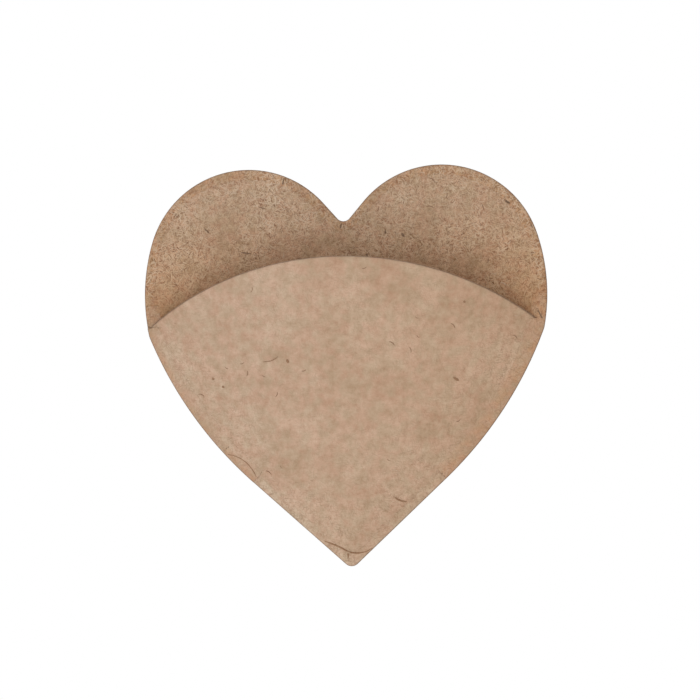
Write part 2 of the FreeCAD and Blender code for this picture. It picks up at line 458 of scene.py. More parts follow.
def build_front(material):
    """The bowed front as a closed shell with a soft rim, standing on the face of the back."""
    bow = SHAPES["bow"]
    sizes = bow.sizes
    columns, levels, rim_steps = 181, 120, 8
    level_crowding, lining_gap = 0.85, 0.1 * MM
    shares = [math.sin(QUARTER_TURN * (2.0 * j / (columns - 1) - 1.0)) for j in range(columns)]

    def face_rows(inset, low):
        rows = []
        tops = [bow.rim_height(share, inset, sizes.rim_round) for share in shares]
        for i in range(levels):
            climb = (i / (levels - 1)) ** level_crowding
            row = []
            for share, top in zip(shares, tops):
                x, height, rise = bow_point(share, low + (top - low) * climb, inset)
                row.append(np.array([x, height, rise + bow_swell(x, height, rise)]))
            rows.append(row)
        return rows

    outer = face_rows(0.0, bow.tip + sizes.tip_rise)
    inner = face_rows(sizes.wall, bow.tip + (sizes.wall + lining_gap) / bow.slope)
    rim = []
    for k in range(1, rim_steps):
        turn = math.pi * k / rim_steps
        row = []
        for top, under, below in zip(outer[-1], inner[-1], outer[-3]):
            lift = (top - below) / np.linalg.norm(top - below)
            middle, half = (top + under) / 2.0, (top - under) / 2.0
            row.append(middle + half * math.cos(turn) + lift * sizes.rim_round * math.sin(turn))
        rim.append(row)
    rows = outer + rim + inner[::-1]
    rows = [[place(point[:2], FACE_DEPTH - point[2]) for point in row] for row in rows]
    vertices, faces = join_rows(rows, round_rows=True)
    for j in (0, columns - 1):
        for i in range(len(rows) // 2):
            k = len(rows) - 1 - i
            if k - 1 > i:
                faces.append(tuple(row * columns + j for row in (i, i + 1, k - 1, k)))
    return finish_mesh("front_panel", vertices, faces, material)


def soft_rise(x, height, ease):
    """The height of paper laid over the back's face and the bow, bridging the angle between them."""
    rise = SHAPES["bow"].rise(x, height)
    return (rise + math.sqrt(rise ** 2 + ease ** 2)) / 2.0 + bow_swell(x, height, rise)


def build_strip(name, material, start, end, band, over_bow, ease, seed):
    """A torn strip of paper wrapped round the heart's edge: front band, edge and rear turn-in."""
    heart, paper = SHAPES["heart"], SHAPES["paper"]
    station_gap, fewest, feather_width, thinned, sink = 0.45 * MM, 24, 1.6 * MM, 0.12, 0.16 * MM
    front_steps, round_steps, rear_steps = 14, 6, 5
    across = (front_steps + 1) + round_steps + (round_steps + 1) + rear_steps
    torn_border = (Swell(0.55 * MM, 6.0 * MM, seed), Swell(0.275 * MM, 1.4 * MM, seed + 1))
    torn_start = (Swell(0.3 * MM, 2.0 * MM, seed + 2),)
    torn_end = (Swell(0.3 * MM, 2.0 * MM, seed + 3),)
    count = max(fewest, int(abs(end - start) / station_gap))

    def profile(distance, ragged):
        """Inset and depth along the strip's outer face, from its front border to its rear one."""
        edge, normal = heart.at(distance)
        path = []
        width = band + ragged
        for k in range(front_steps + 1):
            inset = width + (paper.edge_round - width) * k / front_steps
            flat = edge - normal * inset
            feather = min((width - inset) / feather_width, 1.0)
            over = soft_rise(flat[0], flat[1], ease * feather) if over_bow(flat) else 0.0
            lift = paper.cover * (thinned + (1.0 - thinned) * feather)
            path.append((inset, FACE_DEPTH - over - lift))
        edge_depth = path[-1][1]
        for k in range(1, round_steps + 1):
            turn = QUARTER_TURN * k / round_steps
            path.append((paper.edge_round * (1.0 - math.sin(turn)),
                         edge_depth + paper.edge_round * (1.0 - math.cos(turn))))
        for k in range(round_steps + 1):
            turn = QUARTER_TURN * k / round_steps
            path.append((paper.rear_round * (1.0 - math.cos(turn)),
                         -paper.rear_round * (1.0 - math.sin(turn))))
        for k in range(1, rear_steps + 1):
            path.append((paper.rear_round + (paper.rear_band - paper.rear_round) * k / rear_steps, 0.0))
        return edge, normal, path

    def buried(path):
        """The strip's under face: the same path set into what it covers."""
        under = []
        for k, (inset, depth) in enumerate(path):
            before, after = path[max(k - 1, 0)], path[min(k + 1, len(path) - 1)]
            along = np.array([after[0] - before[0], after[1] - before[1]])
            along /= np.linalg.norm(along)
            under.append((inset + along[1] * sink, depth - along[0] * sink))
        return under

    rows = []
    for i in range(count + 1):
        share = i / count
        ragged = swelling(torn_border, start + share * (end - start), 0.0)
        row = []
        for order, sunk in ((range(across), False), (range(across - 1, -1, -1), True)):
            for k in order:
                first = start + swelling(torn_start, k * MM, 0.0)
                final = end + swelling(torn_end, k * MM, 0.0)
                edge, normal, path = profile(first + (final - first) * share, ragged)
                inset, depth = (buried(path) if sunk else path)[k]
                row.append(place(edge - normal * inset, depth))
        rows.append(row)
    vertices, faces = join_rows(rows, round_row=True)
    width = len(rows[0])
    for i in (0, count):
        for k in range(across - 1):
            faces.append(tuple(i * width + n for n in (k, k + 1, width - 2 - k, width - 1 - k)))
    return finish_mesh(name, vertices, faces, material)


# Materials

# Kinds of node and settings that are used many times
MATH = "ShaderNodeMath"
RANGE = "ShaderNodeMapRange"
NOISE = "ShaderNodeTexNoise"
MIX = "ShaderNodeMix"
BLEND = {"data_type": "RGBA"}
TINT = {"data_type": "RGBA", "blend_type": "MULTIPLY"}
TIMES = {"operation": "MULTIPLY"}
TIMES_PLUS = {"operation": "MULTIPLY_ADD"}
LARGER = {"operation": "MAXIMUM"}
WHITE = (1.0, 1.0, 1.0, 1.0)
MATERIALS = {}


class Drift(NamedTuple):
    """A strength that runs from one value to another between two places along an axis."""
    axis: str
    start: float
    end: float
    first: float
    last: float


class Paper(NamedTuple):
    """What sets one kraft paper apart: its colours, how and which way fibres show, its painted shade to the
    right and in the mouth of the pocket, and its rubbed patches.
    """
    name: str
    base: str
    dark: str
    crispness: Drift
    angles: tuple
    right_shade: float
    mouth: Drift
    rubbing: float = 0.0


class Strokes(NamedTuple):
    """Fibres drawn in the paper: length, width, how rare and how strong, and where their noise starts."""
    size: float
    width: float
    cut: float
    weight: float
    seed: float


# Real pulp fibres are finer: these are drawn as coarse as they need to be to show
DARK_STROKES = Strokes(size=1.8 * MM, width=0.23 * MM, cut=0.66, weight=0.62, seed=0.13)
PALE_STROKES = Strokes(size=1.7 * MM, width=0.23 * MM, cut=0.65, weight=0.60, seed=0.57)
STROKE_EDGE = 0.09
STROKE_SEED_STEP = 0.07
WANDER_SIZE, WANDER_REACH = 2.2 * MM, 0.9 * MM

# Directions of the fibres in degrees from the level
FRONT_ANGLES = (4, 38, 75, 110, 172)
CROSSING_ANGLES = (12, 48, 84, 121, 160)

# Sizes of the pulp's clouds, and how much each weighs in its tone
CLOUD_SIZE, MOTTLE_SIZE, GRAIN_SIZE, HUE_SIZE = 14.0 * MM, 2.6 * MM, 0.8 * MM, 3.6 * MM
CLOUD_SHARE, MOTTLE_SHARE, GRAIN_SHARE, HUE_SHARE = 0.3, 0.45, 0.45, 0.22
PULP_SWING = 0.13
HUE_STOPS = (0.38, 0.62)


def linear(code):
    """An sRGB hex code as a linear colour."""
    parts = [int(code[k:k + 2], 16) / 255.0 for k in (1, 3, 5)]
    return [part / 12.92 if part <= 0.04045 else ((part + 0.055) / 1.055) ** 2.4 for part in parts] + [1.0]


def add(tree, kind, settings=None, **links):
    """A node with its settings. An input, by name or i and number, takes a value, a socket or a node."""
    node = tree.nodes.new(kind)
    for key, value in (settings or {}).items():
        setattr(node, key, value)
    for key, value in links.items():
        socket = node.inputs[int(key[1:]) if key[1:].isdigit() else key.replace("_", " ")]
        if isinstance(value, bpy.types.Node):
            value = next(output for output in value.outputs if output.enabled)
        if isinstance(value, bpy.types.NodeSocket):
            tree.links.new(value, socket)
        else:
            socket.default_value = value
    return node


def new_material(name):
    material = bpy.data.materials.new(name)
    material.use_nodes = True
    material.node_tree.nodes.clear()
    return material, material.node_tree


def pulp_colour(tree, spot, cloud, mottle, grain, crisp, paper, colours):
    """Cloudy pulp between the paper's two browns, with a faint change of hue."""
    coarse = add(tree, MATH, TIMES, i0=mottle, i1=MOTTLE_SHARE)
    coarse = add(tree, MATH, TIMES_PLUS, i0=cloud, i1=CLOUD_SHARE, i2=coarse)
    fine = add(tree, MATH, TIMES, i0=grain, i1=crisp)
    tone = add(tree, MATH, TIMES_PLUS, i0=fine, i1=GRAIN_SHARE, i2=coarse)
    centre = add(tree, MATH, TIMES_PLUS, i0=crisp, i1=GRAIN_SHARE / 2.0,
                 i2=(MOTTLE_SHARE + CLOUD_SHARE) / 2.0)
    swing = add(tree, MATH, {"operation": "SUBTRACT"}, i0=tone, i1=centre)
    spread = add(tree, RANGE, Value=swing, From_Min=-PULP_SWING, From_Max=PULP_SWING)
    body = add(tree, MIX, BLEND, i0=spread, i6=linear(paper.dark), i7=linear(paper.base))
    hue = add(tree, NOISE, Vector=spot, Scale=1.0 / HUE_SIZE, Detail=2.0)
    clouds = add(tree, "ShaderNodeValToRGB", Fac=hue)
    codes = (colours.pulp_cool, colours.pulp_pink)
    for element, stop, code in zip(clouds.color_ramp.elements, HUE_STOPS, codes):
        element.position = stop
        element.color = linear(code)
    return add(tree, MIX, BLEND, i0=HUE_SHARE, i6=body, i7=clouds)


def strokes_one_way(tree, bent, angle, kind, seed):
    """Fibres that lie one way: a noise drawn out along them, of which only the peaks show."""
    drawn = add(tree, "ShaderNodeMapping", {"vector_type": "TEXTURE"}, Vector=bent,
                Location=(seed, 0.0, seed), Rotation=(0.0, math.radians(angle), 0.0),
                Scale=(kind.size, kind.size, kind.width))
    peaks = add(tree, NOISE, Vector=drawn, Scale=1.0, Detail=0.0)
    return add(tree, RANGE, Value=peaks, From_Min=kind.cut,
               From_Max=kind.cut + STROKE_EDGE)


def fibre_strokes(tree, body, spot, cloud, crisp, angles, colours):
    """Dark and pale fibres over the pulp, a little bent, and thicker in some clouds than in others."""
    wander = add(tree, NOISE, Vector=spot, Scale=1.0 / WANDER_SIZE, Detail=0.0)
    bent = add(tree, "ShaderNodeVectorMath", TIMES_PLUS, i0=wander.outputs["Color"], i1=[WANDER_REACH] * 3,
               i2=spot)
    clumps = add(tree, RANGE, Value=cloud, From_Min=0.36, From_Max=0.64,
                 To_Min=0.45, To_Max=1.25)
    strength = add(tree, MATH, TIMES, i0=crisp, i1=clumps)
    for code, kind in ((colours.fleck_dark, DARK_STROKES), (colours.fleck_pale, PALE_STROKES)):
        together = strokes_one_way(tree, bent, angles[0], kind, kind.seed)
        for k, angle in enumerate(angles[1:], 1):
            layer = strokes_one_way(tree, bent, angle, kind, kind.seed + STROKE_SEED_STEP * k)
            together = add(tree, MATH, LARGER, i0=together, i1=layer)
        shown = add(tree, MATH, TIMES, i0=together, i1=strength)
        shown = add(tree, MATH, TIMES, i0=shown, i1=kind.weight)
        body = add(tree, MIX, BLEND, i0=shown, i6=body, i7=linear(code))
    return body


def paper_tints(tree, body, axes, mottle, paper, colours):
    """Soft tints matched to the photograph: warm painted shade to the right and in the mouth of the pocket,
    darker painted shade on the narrow edge, and browner rubbed patches along the seam strips. Soft tints
    matched to the photograph, whose warmer tones may be the paper's or the light's.
    """
    # Painted shade: darker and warmer to the right, away from the light from the left
    right = add(tree, RANGE, Value=axes.outputs["X"], From_Min=-25.0 * MM,
                From_Max=50.0 * MM, To_Max=paper.right_shade)

    # Painted shade, darker and warmer, low down by the mouth of the pocket, but not at the wall
    deep = add(tree, RANGE, Value=axes.outputs[paper.mouth.axis],
               From_Min=paper.mouth.start, From_Max=paper.mouth.end,
               To_Min=paper.mouth.first, To_Max=paper.mouth.last)
    open_side = add(tree, RANGE, Value=axes.outputs["Y"],
                    From_Min=FACE_DEPTH + 0.3 * MM, From_Max=FACE_DEPTH + 1.2 * MM, To_Min=1.0, To_Max=0.0)
    mouth = add(tree, MATH, TIMES, i0=deep, i1=open_side)

    # Browner in patches where a seam strip lies low, along the edge
    low = add(tree, RANGE, Value=axes.outputs["Y"], From_Min=FACE_DEPTH - 1.6 * MM,
              From_Max=FACE_DEPTH - 0.3 * MM, To_Max=paper.rubbing)
    patches = add(tree, RANGE, Value=mottle, From_Min=0.42, From_Max=0.6)
    rubbed = add(tree, MATH, TIMES, i0=low, i1=patches)

    # Painted shade: darker on the narrow edge, whose faces look sideways
    normal = add(tree, "ShaderNodeNewGeometry").outputs["Normal"]
    facing = add(tree, "ShaderNodeSeparateXYZ", Vector=normal)
    forward = add(tree, MATH, {"operation": "ABSOLUTE"}, i0=facing.outputs["Y"])
    sideways = add(tree, RANGE, Value=forward, From_Min=0.5, From_Max=0.8,
                   To_Min=0.62, To_Max=0.0)

    for strength, code in ((right, colours.painted_shade_right), (mouth, colours.painted_shade_mouth),
                           (rubbed, colours.tint_rubbed), (sideways, colours.painted_shade_edge)):
        body = add(tree, MIX, TINT, i0=strength, i6=body, i7=linear(code))
    return body


def kraft_paper(paper, colours):
    """Unbleached kraft paper, pressed and pasted: matt, cloudy brown pulp with crossing fibres."""
    material, tree = new_material(paper.name)
    spot = add(tree, "ShaderNodeTexCoord").outputs["Object"]
    axes = add(tree, "ShaderNodeSeparateXYZ", Vector=spot)
    cloud = add(tree, NOISE, Vector=spot, Scale=1.0 / CLOUD_SIZE, Detail=3.0)
    mottle = add(tree, NOISE, Vector=spot, Scale=1.0 / MOTTLE_SIZE, Detail=4.0,
                 Roughness=0.6)
    grain = add(tree, NOISE, Vector=spot, Scale=1.0 / GRAIN_SIZE, Detail=2.0,
                Roughness=0.6)
    crisp = add(tree, RANGE, Value=axes.outputs[paper.crispness.axis],
                From_Min=paper.crispness.start, From_Max=paper.crispness.end,
                To_Min=paper.crispness.first, To_Max=paper.crispness.last)
    body = pulp_colour(tree, spot, cloud, mottle, grain, crisp, paper, colours)
    body = fibre_strokes(tree, body, spot, cloud, crisp, paper.angles, colours)
    body = paper_tints(tree, body, axes, mottle, paper, colours)
    height = add(tree, MATH, TIMES_PLUS, i0=grain, i1=0.5, i2=mottle)
    bump = add(tree, "ShaderNodeBump", Strength=0.35, Distance=0.10 * MM, Height=height)
    dull = add(tree, RANGE, Value=mottle, To_Min=0.78, To_Max=0.95)
    shader = add(tree, "ShaderNodeBsdfPrincipled", Base_Color=body, Roughness=dull, IOR=1.45,
                 Normal=bump, Specular_IOR_Level=0.25, Sheen_Weight=0.05, Sheen_Roughness=0.6)
    add(tree, "ShaderNodeOutputMaterial", Surface=shader)
    return material


def fibre(name, code, core):
    """One material for a pulp fibre, a speck, the painted shadow along a torn line and the painted shade in a
    crease: matt, a little uneven along its length.
    """
    material, tree = new_material(name)
    spot = add(tree, "ShaderNodeTexCoord").outputs["Object"]
    shade = add(tree, NOISE, Vector=spot, Scale=1.0 / (3.0 * MM), Detail=1.0)
    body = add(tree, MIX, BLEND, i0=shade, i6=linear(code), i7=linear(core))
    shader = add(tree, "ShaderNodeBsdfPrincipled", Base_Color=body, Roughness=0.9)
    add(tree, "ShaderNodeOutputMaterial", Surface=shader)
    return material


def seen_directly(tree):
    """One for the camera's rays and for what metal or glass would show, and zero for the light's own."""
    path = add(tree, "ShaderNodeLightPath")
    seen = add(tree, MATH, LARGER, i0=path.outputs["Is Camera Ray"],
               i1=path.outputs["Is Glossy Ray"])
    return add(tree, MATH, LARGER, i0=seen, i1=path.outputs["Is Transmission Ray"])


def studio_floor(code):
    """Pale matt floor paint: nearly white to the camera, with the object's soft shadow kept."""
    material, tree = new_material("matt_white_floor_paint")
    whiteness = 0.97
    spot = add(tree, "ShaderNodeTexCoord").outputs["Object"]
    cloud = add(tree, NOISE, Vector=spot, Scale=1.0 / (60.0 * MM))
    tone = add(tree, MIX, BLEND, i0=cloud, i6=linear(code), i7=WHITE)
    paint = add(tree, "ShaderNodeBsdfDiffuse", Color=tone)
    white = add(tree, "ShaderNodeEmission", Color=WHITE, Strength=1.0)
    share = add(tree, MATH, TIMES, i0=seen_directly(tree), i1=whiteness)
    mixed = add(tree, "ShaderNodeMixShader", i0=share, i1=paint, i2=white)
    add(tree, "ShaderNodeOutputMaterial", Surface=mixed)
    return material


def read_materials():
    """Make the five kraft papers, the fibres and the marks from the colours."""
    colours = bpy.context.scene.pocket_colours
    rim_end = place((0.0, SHAPES["bow"].rim_end), 0.0)[2]
    blend_start, blend_end = rim_end - 2.0 * MM, rim_end + 1.0 * MM
    mouth_top = rim_end + 34.0 * MM
    untinted = Drift("Z", rim_end, mouth_top, 0.0, 0.0)

    def fading_forward(crispness):
        """Fibres that show less where the paper bulges forward."""
        bulge, flat, least = 9.0 * MM, 1.0 * MM, 0.45
        return Drift("Y", FACE_DEPTH - bulge, FACE_DEPTH - flat, crispness * least, crispness)

    # The papers' tint strengths set painted shade: to the right, and low down by the mouth of the pocket
    # above the rim's ends
    papers = {
        "front": Paper("kraft_paper_pressed_front", colours.front_base, colours.front_dark,
                       fading_forward(0.55), FRONT_ANGLES, right_shade=0.5, mouth=untinted),
        "seam": Paper("kraft_paper_seam_strip", colours.front_base, colours.front_dark,
                      Drift("Z", blend_start, blend_end, 0.5, 1.0), CROSSING_ANGLES, right_shade=0.5,
                      mouth=Drift("Z", blend_start, blend_end, 0.0, 0.4), rubbing=0.7),
        "patch": Paper("kraft_paper_pale_patch", colours.patch_base, colours.front_dark,
                       fading_forward(0.6), FRONT_ANGLES, right_shade=0.5, mouth=untinted),
        "back": Paper("kraft_paper_pressed_back", colours.back_base, colours.back_dark,
                      fading_forward(1.0), CROSSING_ANGLES, right_shade=0.2,
                      mouth=Drift("Z", rim_end, mouth_top, 1.0, 0.0)),
        "edge": Paper("kraft_paper_rubbed_edge", colours.edge_base, colours.edge_dark,
                      fading_forward(1.0), CROSSING_ANGLES, right_shade=0.2,
                      mouth=Drift("Z", rim_end, mouth_top, 0.5, 0.0)),
    }
    for key, paper in papers.items():
        MATERIALS[key] = kraft_paper(paper, colours)
    # The torn-line and speck materials also paint the shadow along torn lines and the shade in creases
    for key, name, code in (("dark", "bark_fibre", colours.fleck_dark),
                            ("pale", "bleached_fibre", colours.fleck_pale),
                            ("mark", "torn_paper_shadow_and_flecks", colours.mark),
                            ("speck_and_crease_shade", "bark_speck_and_crease_shade", colours.speck_and_crease_shade)):
        MATERIALS[key] = fibre(name, code, colours.fibre_core)


# Fibres strewn on the paper

FIBRES_PER_SQUARE_METRE = {
    "front_panel": {"dark": 4000.0, "pale": 1500.0},
    "back_heart": {"dark": 9000.0, "pale": 3000.0},
}
FIBRE_SLOTS = {"front_panel": "front_kraft", "back_heart": "back_kraft"}
FIBRE_SEEDS = {"dark": 3, "pale": 8}
FIBRE_INPUTS = {
    "Surface": "NodeSocketGeometry",
    "Fibre": "NodeSocketObject",
    "Per square metre": "NodeSocketFloat",
    "Seed": "NodeSocketInt",
    "Material": "NodeSocketMaterial",
}

# A ribbon's cross-section, as shares of its half width and of its lift
RIBBON_SECTION = ((-1.0, -1.0), (-0.5, 1.0), (0.5, 1.0), (1.0, -1.0))


def tapered(width, along, least):
    """Half the width of a ribbon that narrows to its ends, where along runs from -1 to 1."""
    return width / 2.0 * math.sqrt(max(1.0 - along ** 4, least))


def closed_ribbon(rows):
    """Vertices and faces of a ribbon through its cross-sections, with both ends closed."""
    vertices, faces = join_rows(rows, round_row=True)
    corners, count = len(RIBBON_SECTION), len(vertices)
    return vertices, faces + [tuple(range(corners)), tuple(range(count - 1, count - 1 - corners, -1))]


def fibre_shape(name, size, width):
    """One fibre: a short bent ribbon, thick enough to stand a little above the paper."""
    steps, bend, lift, least = 7, 0.16, 0.06 * MM, 0.04
    rows = []
    for k in range(steps):
        along = 2.0 * k / (steps - 1) - 1.0
        half = tapered(width, along, least)
        x, y = along * size / 2.0, bend * size * (1.0 - along ** 2)
        rows.append([(x, y + half * side, lift * up) for side, up in RIBBON_SECTION])
    vertices, faces = closed_ribbon(rows)
    mesh = bpy.data.meshes.new(name)
    mesh.from_pydata(vertices, [], faces)
    work = bmesh.new()
    work.from_mesh(mesh)
    bmesh.ops.recalc_face_normals(work, faces=work.faces)
    work.to_mesh(mesh)
    work.free()
    return bpy.data.objects.new(name, mesh)


def strewing_tree(name):
    """Nodes that strew a shape over a surface's forward faces, each turned and sized by chance."""
    forward_limit, smallest, largest, size_draw = -0.6, 0.35, 1.3, 7
    chance = {"data_type": "FLOAT"}
    tree = bpy.data.node_groups.new(name, "GeometryNodeTree")
    sockets = {}
    for label, kind in FIBRE_INPUTS.items():
        sockets[label] = tree.interface.new_socket(label, in_out="INPUT", socket_type=kind).identifier
    tree.interface.new_socket("Fibres", in_out="OUTPUT", socket_type="NodeSocketGeometry")
    given = add(tree, "NodeGroupInput")
    seed = given.outputs["Seed"]
    axes = add(tree, "ShaderNodeSeparateXYZ", Vector=add(tree, "GeometryNodeInputNormal"))
    forward = add(tree, "FunctionNodeCompare", {"data_type": "FLOAT", "operation": "LESS_THAN"},
                  i0=axes.outputs["Y"], i1=forward_limit)
    points = add(tree, "GeometryNodeDistributePointsOnFaces", Mesh=given.outputs["Surface"],
                 Selection=forward, Density=given.outputs["Per square metre"], Seed=seed)
    shape = add(tree, "GeometryNodeObjectInfo", Object=given.outputs["Fibre"])
    spin = add(tree, "FunctionNodeRandomValue", chance, Seed=seed, i3=2.0 * math.pi)
    turn = add(tree, "ShaderNodeCombineXYZ", Z=spin)
    rotation = add(tree, "FunctionNodeEulerToRotation", Euler=turn)
    facing = add(tree, "FunctionNodeRotateRotation", {"rotation_space": "LOCAL"},
                 Rotation=points.outputs["Rotation"], Rotate_By=rotation)
    size = add(tree, "FunctionNodeRandomValue", chance, Seed=seed, ID=size_draw, i2=smallest, i3=largest)
    spread = add(tree, "GeometryNodeInstanceOnPoints", Points=points.outputs["Points"],
                 Instance=shape.outputs["Geometry"], Rotation=facing, Scale=size)
    solid = add(tree, "GeometryNodeRealizeInstances", Geometry=spread)
    painted = add(tree, "GeometryNodeSetMaterial", Geometry=solid, Material=given.outputs["Material"])
    add(tree, "NodeGroupOutput", Fibres=painted)
    return tree, sockets


def strew(name, surface, shape, density, seed, material):
    """The strewn fibres of one surface as a plain mesh."""
    tree, sockets = strewing_tree(name + "_nodes")
    carrier = bpy.data.objects.new(name + "_carrier", surface.data)
    bpy.context.scene.collection.objects.link(carrier)
    modifier = carrier.modifiers.new("strew", "NODES")
    modifier.node_group = tree
    modifier[sockets["Fibre"]] = shape
    modifier[sockets["Per square metre"]] = density
    modifier[sockets["Seed"]] = seed
    modifier[sockets["Material"]] = material
    graph = bpy.context.evaluated_depsgraph_get()
    mesh = bpy.data.meshes.new_from_object(carrier.evaluated_get(graph), depsgraph=graph)
    carrier.modifiers.remove(modifier)
    bpy.data.objects.remove(carrier)
    mesh.name = name
    piece = bpy.data.objects.new(name, mesh)
    bpy.context.scene.collection.objects.link(piece)
    return piece


# Torn lines, creases and bark flecks, placed to the nearest half millimetre

# The torn lines, folds and creases are dark lines of painted shadow and painted crease shade; the flecks,
# hairs, dots and specks are the paper's own
class Mark(NamedTuple):
    """A line on the paper: its ends as x and height, its width and its bow to the left of its run, in mm."""
    start: tuple
    end: tuple
    width: float
    bow: float = 0.0


TIP_TEAR_LEFT = Mark(start=(-9.0, 9.0), end=(-1.0, 5.5), width=0.55, bow=0.3)
TIP_TEAR_RIGHT = Mark(start=(-1.0, 5.5), end=(6.5, 6.5), width=0.45, bow=-1.0)
TIP_FOLD = Mark(start=(-1.0, 5.0), end=(-1.0, 3.5), width=0.45)
LOW_FLECK = Mark(start=(13.5, 21.5), end=(17.0, 20.0), width=0.5, bow=-0.3)
LEFT_HAIR = Mark(start=(-24.0, 63.0), end=(-19.5, 64.5), width=0.16, bow=-0.5)
LEFT_DOT = Mark(start=(-17.0, 63.5), end=(-16.5, 62.5), width=0.75)
OUTER_DOT = Mark(start=(-40.0, 58.5), end=(-39.5, 58.0), width=0.7)
LOWER_DOT = Mark(start=(-37.0, 56.0), end=(-36.5, 55.5), width=0.6)
RIGHT_FLECK = Mark(start=(32.0, 57.0), end=(33.5, 56.0), width=0.7)
HIGH_DOT = Mark(start=(35.5, 79.5), end=(36.0, 79.0), width=0.6)
FRONT_MARKS = (TIP_TEAR_LEFT, TIP_TEAR_RIGHT, TIP_FOLD, LOW_FLECK, LEFT_HAIR, LEFT_DOT, OUTER_DOT, LOWER_DOT,
               RIGHT_FLECK, HIGH_DOT)

SEAM_LIP = Mark(start=(-38.0, 35.5), end=(-28.0, 28.5), width=0.35, bow=2.0)
SEAM_MARKS = (SEAM_LIP,)

CORNER_CREASE = Mark(start=(57.5, 76.5), end=(59.5, 72.5), width=0.5)
NOTCH_CREASE = Mark(start=(-0.5, 104.0), end=(-1.0, 102.5), width=0.6)
LOBE_CREASE = Mark(start=(-17.5, 118.0), end=(-18.0, 116.0), width=0.55)
LOBE_EDGE_FLECK = Mark(start=(48.5, 109.5), end=(50.0, 108.5), width=0.5)
SIDE_FLECK = Mark(start=(56.0, 102.5), end=(56.5, 101.0), width=0.4)
EDGE_MARKS = (CORNER_CREASE, NOTCH_CREASE, LOBE_CREASE, LOBE_EDGE_FLECK, SIDE_FLECK)

LOBE_HAIR = Mark(start=(-31.0, 96.0), end=(-28.0, 95.5), width=0.35)
SHADED_DOT = Mark(start=(6.5, 94.5), end=(7.0, 94.0), width=0.5)
LOBE_BLOT = Mark(start=(17.5, 100.5), end=(18.0, 99.5), width=0.8)
LOBE_DOT = Mark(start=(12.5, 101.5), end=(12.5, 100.5), width=0.4)
LEFT_LOBE_FLECK = Mark(start=(-42.0, 103.5), end=(-40.5, 102.0), width=0.4)
LEFT_LOBE_HAIR = Mark(start=(-25.5, 109.5), end=(-23.5, 109.0), width=0.35)
BACK_MARKS = (LOBE_HAIR, SHADED_DOT, LOBE_BLOT, LOBE_DOT, LEFT_LOBE_FLECK, LEFT_LOBE_HAIR)


def held_on_edge(flat):
    """A point held inside the outline, and how far the rounded edge falls away there."""
    heart, edge_round = SHAPES["heart"], SHAPES["paper"].edge_round
    nearest = int(np.argmin(np.linalg.norm(heart.points - flat, axis=1)))
    normal = heart.normals[nearest]
    inset = (heart.points[nearest] - flat) @ normal
    short = min(max(edge_round - inset, 0.0), edge_round)
    fall = edge_round - math.sqrt(edge_round ** 2 - short ** 2)
    return flat + normal * min(inset, 0.0), fall


def mark_rows(mark, rise_of):
    """Cross-sections of a thin tapered ribbon that lies on the paper along a bowed line."""
    fewest, step_length, lift, least = 8, 0.5 * MM, 0.10 * MM, 0.05
    start = np.array(mark.start) * MM
    run = np.array(mark.end) * MM - start
    left = np.array([-run[1], run[0]]) / np.linalg.norm(run)
    bow = left * mark.bow * MM * 4.0
    steps = max(fewest, int(np.linalg.norm(run) / step_length))
    rows = []
    for k in range(steps + 1):
        share = k / steps
        middle = start + run * share + bow * share * (1.0 - share)
        heading = run + bow * (1.0 - 2.0 * share)
        across = np.array([-heading[1], heading[0]]) / np.linalg.norm(heading)
        half = tapered(mark.width * MM, 2.0 * share - 1.0, least)
        row = []
        for side, up in RIBBON_SECTION:
            flat, fall = held_on_edge(middle + across * half * side)
            row.append(place(flat, FACE_DEPTH - rise_of(flat) + fall - lift * up))
        rows.append(row)
    return rows


def build_marks(name, marks, rise_of, material):
    """A group of marks as one piece."""
    vertices, faces = [], []
    for mark in marks:
        ribbon, ribbon_faces = closed_ribbon(mark_rows(mark, rise_of))
        faces += [tuple(index + len(vertices) for index in face) for face in ribbon_faces]
        vertices += ribbon
    return finish_mesh(name, vertices, faces, material)


# Operators, one for each piece or group of like pieces

class POCKET_OT_back(bpy.types.Operator):
    """Build the flat heart of the back"""
    bl_idname = "pocket.back"
    bl_label = "Back"

    def execute(self, context):
        piece = build_back(MATERIALS["back"])
        settle(piece, "back_kraft", "back_board", "back_face_paper", "back_rear_paper")
        return {"FINISHED"}


class POCKET_OT_lobe_strips(bpy.types.Operator):
    """Wrap the edge strips round both lobes"""
    bl_idname = "pocket.lobe_strips"
    bl_label = "Lobe edge strips"

    def execute(self, context):
        heart, paper = SHAPES["heart"], SHAPES["paper"]
        low = heart.corner[1] + paper.strip_top
        notch = heart.perimeter / 2.0
        strips = (
            ("lobe_edge_strip_right", heart.distance_at_height(low), notch, 21),
            ("lobe_edge_strip_left", notch, heart.distance_at_height(low, right=False), 31),
        )
        for name, start, end, seed in strips:
            piece = build_strip(name + "_paper", MATERIALS["edge"], start, end, paper.lobe_band,
                                lambda flat: False, 0.0, seed)
            settle(piece, "edge_kraft", name)
        return {"FINISHED"}


class POCKET_OT_front(bpy.types.Operator):
    """Build the bowed front panel"""
    bl_idname = "pocket.front"
    bl_label = "Bowed front"

    def execute(self, context):
        piece = build_front(MATERIALS["front"])
        settle(piece, "front_kraft", "front_board", "front_outer_paper", "front_lining_paper")
        return {"FINISHED"}


